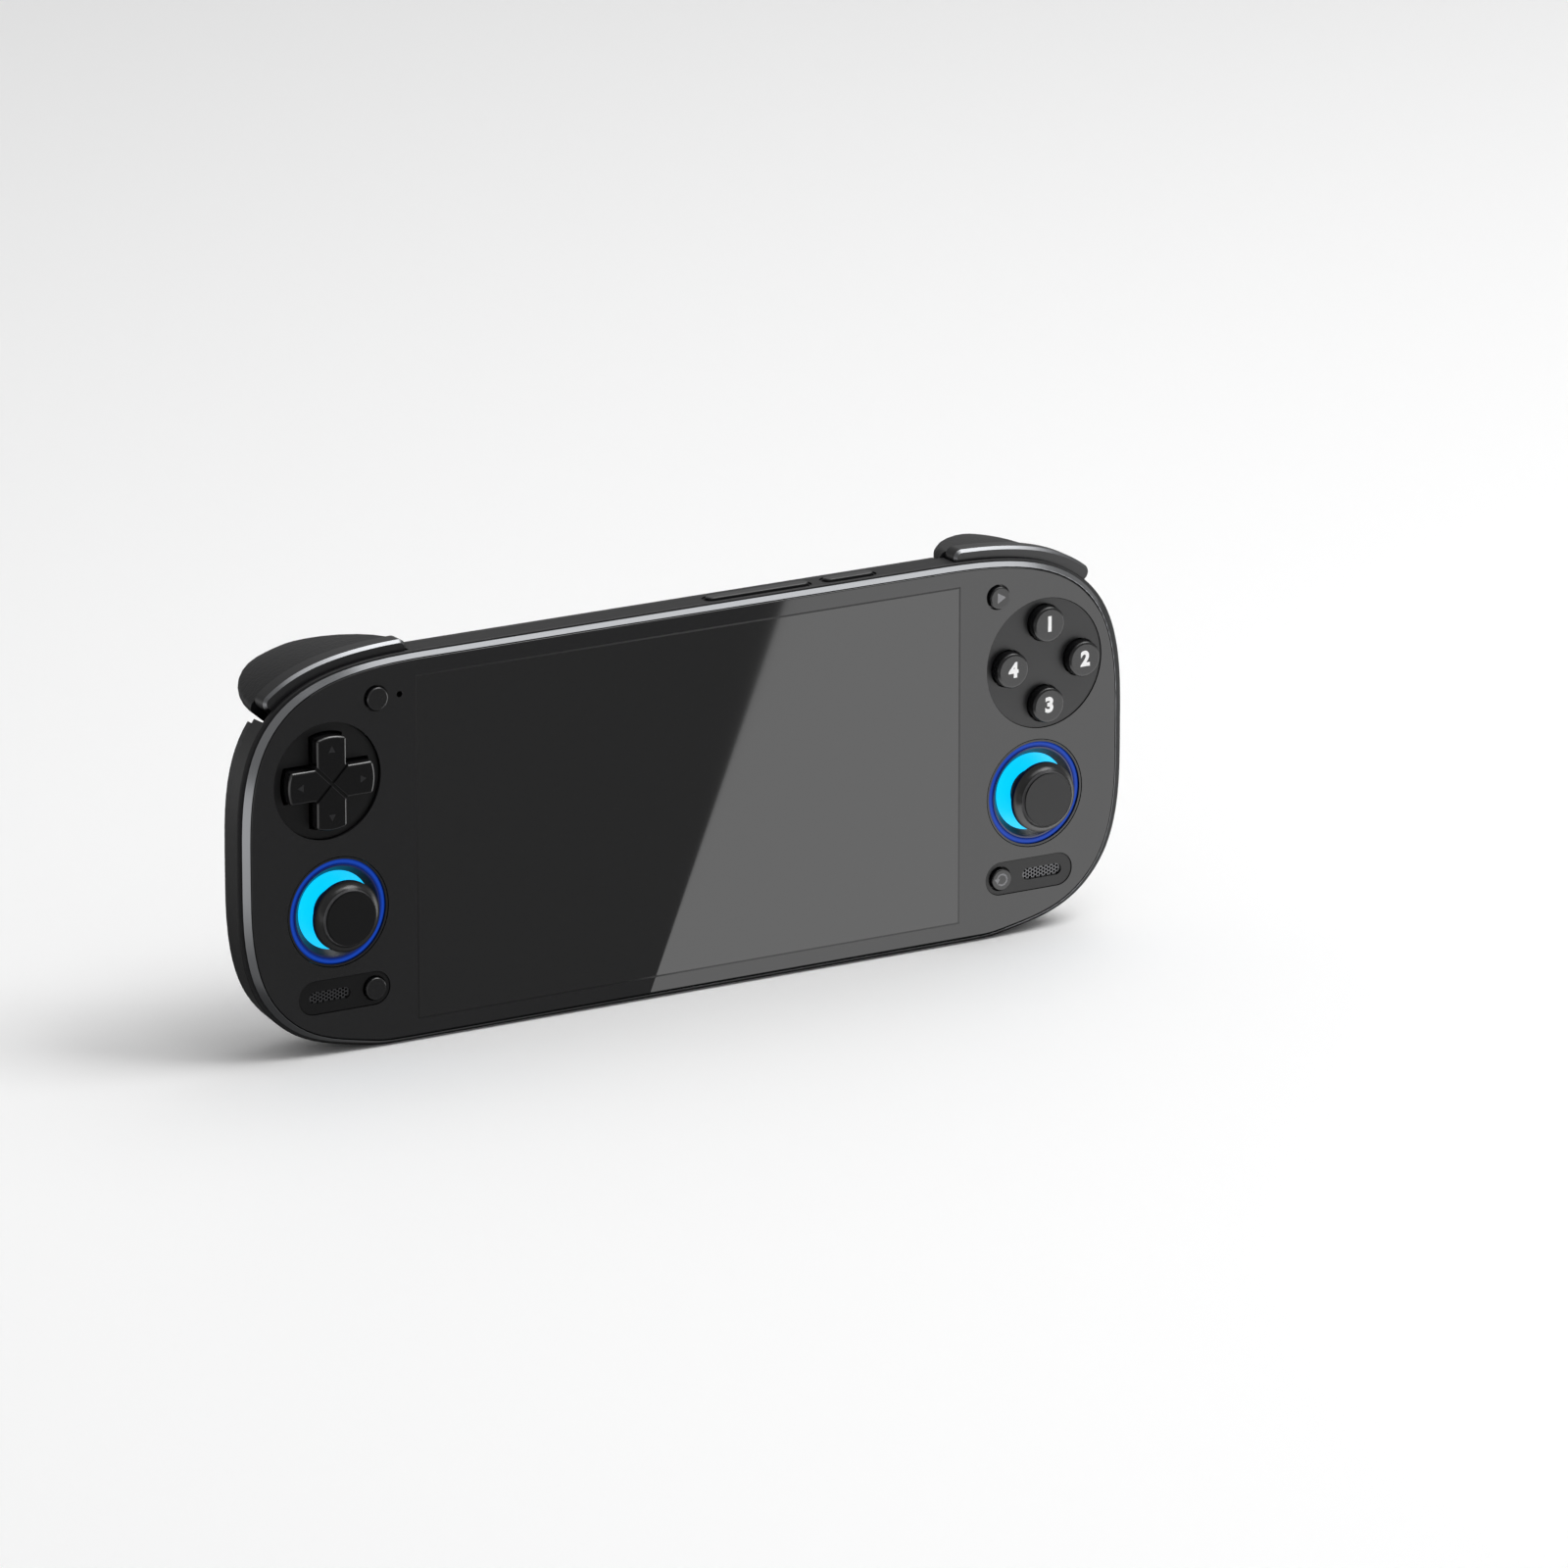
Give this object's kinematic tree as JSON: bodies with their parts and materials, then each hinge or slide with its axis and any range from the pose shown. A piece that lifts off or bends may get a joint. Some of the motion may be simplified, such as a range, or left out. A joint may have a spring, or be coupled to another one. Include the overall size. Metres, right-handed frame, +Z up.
{
  "type": "handheld game console",
  "caption": "Wide handheld game console with a full-width glass front, two sticks, a direction pad, round buttons, shoulder buttons and triggers.",
  "frame": {"origin": "centre of the USB-C port's mouth in the flat lower edge", "axes": "+X to the player's right along the width, +Y to the rear through the thickness, +Z up along the height"},
  "size_m": [0.228, 0.0316, 0.0919],
  "materials": {
    "dark_glass": "polished black cover glass",
    "bright_metal": "bright satin metal",
    "black_body": "fine matte black",
    "black_gloss": "smooth black",
    "display": "switched-off display",
    "board": "solder mask",
    "cell": "wrapped cell",
    "metal_sheet": "plain",
    "copper": "copper",
    "steel": "smooth",
    "rubber_sheet": "soft silicone",
    "stick_rubber": "soft touch",
    "blue_light": "lit blue light guide",
    "cyan_light": "lit cyan disc",
    "mesh": "fine dark mesh",
    "white_print": "printed numerals of the face buttons"
  },
  "bodies": {
    "console": {"front_glass": "dark_glass", "front_frame": "bright_metal", "mid_frame": "black_body", "rear_cover": "black_body", "display_panel": "display", "mainboard": "board", "battery": "cell", "heat_sink": "copper", "fan_housing": "black_body", "usb_c_port": "metal_sheet", "card_slot": "metal_sheet", "speakers": "cell", "left_speaker_plate": "black_gloss", "right_speaker_plate": "black_gloss", "speaker_meshes": "mesh", "left_control_board": "board", "right_control_board": "board", "dpad_bezel": "black_gloss", "face_button_bezel": "black_gloss", "dpad_membrane": "rubber_sheet", "face_button_membrane": "rubber_sheet", "left_stick_module": "metal_sheet", "right_stick_module": "metal_sheet", "left_stick_bezel": "black_gloss", "right_stick_bezel": "black_gloss", "left_light_ring": "blue_light", "right_light_ring": "blue_light", "left_glow_disc": "cyan_light", "right_glow_disc": "cyan_light", "side_switch_board": "board", "left_trigger_bracket": "metal_sheet", "right_trigger_bracket": "metal_sheet", "control_pins": "steel", "rear_cover_screws": "steel", "trigger_springs": "steel"},
    "fan": {"fan_rotor": "black_body"},
    "dpad_ball": {"dpad_pivot": "steel"},
    "direction_pad": {"dpad": "black_gloss"},
    "face_button_up": {"face_button_top": "black_gloss"},
    "face_button_to_right": {"face_button_right": "black_gloss"},
    "face_button_down": {"face_button_bottom": "black_gloss"},
    "face_button_to_left": {"face_button_left": "black_gloss"},
    "select": {"select_button": "black_gloss"},
    "start": {"start_button": "black_gloss"},
    "left_menu": {"left_menu_button": "black_gloss"},
    "right_menu": {"right_menu_button": "black_gloss"},
    "left_yoke": {"left_stick_yoke": "steel"},
    "left_pivot": {"left_stick_pivot": "black_gloss"},
    "left_stick": {"left_stick_stem": "steel", "left_stick_cap": "stick_rubber"},
    "left_shoulder": {"left_shoulder_button": "black_gloss"},
    "left_trigger_lever": {"left_trigger": "black_body"},
    "right_yoke": {"right_stick_yoke": "steel"},
    "right_pivot": {"right_stick_pivot": "black_gloss"},
    "right_stick": {"right_stick_stem": "steel", "right_stick_cap": "stick_rubber"},
    "right_shoulder": {"right_shoulder_button": "black_gloss"},
    "right_trigger_lever": {"right_trigger": "black_body"},
    "rocker": {"volume_rocker": "black_gloss"},
    "power": {"power_button": "black_gloss"}
  },
  "joints": [
    {"name": "fan_spin", "type": "hinge", "parent": "console", "child": "fan", "pos_m": [0.038, 0.0054, 0.05], "axis": [0, 1, 0], "continuous": true},
    {"name": "direction_pad_up_down", "type": "hinge", "parent": "console", "child": "dpad_ball", "pos_m": [-0.0924, -0.00017, 0.0634], "axis": [1, 0, 0], "range_deg": [-3.5, 3.5], "stiffness_Nm_per_rad": 0.2},
    {"name": "direction_pad_left_right", "type": "hinge", "parent": "dpad_ball", "child": "direction_pad", "pos_m": [-0.0924, -0.00017, 0.0634], "axis": [0, 0, 1], "range_deg": [-3.5, 3.5], "stiffness_Nm_per_rad": 0.2},
    {"name": "face_button_up_press", "type": "slide", "parent": "console", "child": "face_button_up", "axis": [0, 1, 0], "range_m": [0, 0.0012], "stiffness_N_per_m": 400},
    {"name": "face_button_to_right_press", "type": "slide", "parent": "console", "child": "face_button_to_right", "axis": [0, 1, 0], "range_m": [0, 0.0012], "stiffness_N_per_m": 400},
    {"name": "face_button_down_press", "type": "slide", "parent": "console", "child": "face_button_down", "axis": [0, 1, 0], "range_m": [0, 0.0012], "stiffness_N_per_m": 400},
    {"name": "face_button_to_left_press", "type": "slide", "parent": "console", "child": "face_button_to_left", "axis": [0, 1, 0], "range_m": [0, 0.0012], "stiffness_N_per_m": 400},
    {"name": "select_press", "type": "slide", "parent": "console", "child": "select", "axis": [0, 1, 0], "range_m": [0, 0.0005], "stiffness_N_per_m": 600},
    {"name": "start_press", "type": "slide", "parent": "console", "child": "start", "axis": [0, 1, 0], "range_m": [0, 0.0005], "stiffness_N_per_m": 600},
    {"name": "left_menu_press", "type": "slide", "parent": "console", "child": "left_menu", "axis": [0, 1, 0], "range_m": [0, 0.0005], "stiffness_N_per_m": 600},
    {"name": "right_menu_press", "type": "slide", "parent": "console", "child": "right_menu", "axis": [0, 1, 0], "range_m": [0, 0.0005], "stiffness_N_per_m": 600},
    {"name": "left_stick_up_down", "type": "hinge", "parent": "console", "child": "left_yoke", "pos_m": [-0.09, 0.0039, 0.03305], "axis": [1, 0, 0], "range_deg": [-11, 11], "stiffness_Nm_per_rad": 0.1},
    {"name": "left_stick_left_right", "type": "hinge", "parent": "left_yoke", "child": "left_pivot", "pos_m": [-0.09, 0.0039, 0.03305], "axis": [0, 0, 1], "range_deg": [-11, 11], "stiffness_Nm_per_rad": 0.1},
    {"name": "left_stick_press", "type": "slide", "parent": "left_pivot", "child": "left_stick", "axis": [0, 1, 0], "range_m": [0, 0.0004], "stiffness_N_per_m": 1500},
    {"name": "left_shoulder_press", "type": "hinge", "parent": "console", "child": "left_shoulder", "pos_m": [-0.0726, 0.0001, 0.087], "axis": [0, -1, 0], "range_deg": [0, 3], "stiffness_Nm_per_rad": 1},
    {"name": "left_trigger_pull", "type": "hinge", "parent": "console", "child": "left_trigger_lever", "pos_m": [-0.084, 0.0055, 0.0845], "axis": [-1, 0, 0], "range_deg": [0, 13], "stiffness_Nm_per_rad": 0.15},
    {"name": "right_stick_up_down", "type": "hinge", "parent": "console", "child": "right_yoke", "pos_m": [0.09, 0.0039, 0.03305], "axis": [1, 0, 0], "range_deg": [-11, 11], "stiffness_Nm_per_rad": 0.1},
    {"name": "right_stick_left_right", "type": "hinge", "parent": "right_yoke", "child": "right_pivot", "pos_m": [0.09, 0.0039, 0.03305], "axis": [0, 0, 1], "range_deg": [-11, 11], "stiffness_Nm_per_rad": 0.1},
    {"name": "right_stick_press", "type": "slide", "parent": "right_pivot", "child": "right_stick", "axis": [0, 1, 0], "range_m": [0, 0.0004], "stiffness_N_per_m": 1500},
    {"name": "right_shoulder_press", "type": "hinge", "parent": "console", "child": "right_shoulder", "pos_m": [0.0726, 0.0001, 0.087], "axis": [0, 1, 0], "range_deg": [0, 3], "stiffness_Nm_per_rad": 1},
    {"name": "right_trigger_pull", "type": "hinge", "parent": "console", "child": "right_trigger_lever", "pos_m": [0.084, 0.0055, 0.0845], "axis": [-1, 0, 0], "range_deg": [0, 13], "stiffness_Nm_per_rad": 0.15},
    {"name": "volume_press", "type": "hinge", "parent": "console", "child": "rocker", "pos_m": [0.0197, -0.00035, 0.0871], "axis": [0, 1, 0], "range_deg": [-1.8, 1.8], "stiffness_Nm_per_rad": 0.3},
    {"name": "power_press", "type": "slide", "parent": "console", "child": "power", "axis": [0, 0, -1], "range_m": [0, 0.0004], "stiffness_N_per_m": 900}
  ]
}
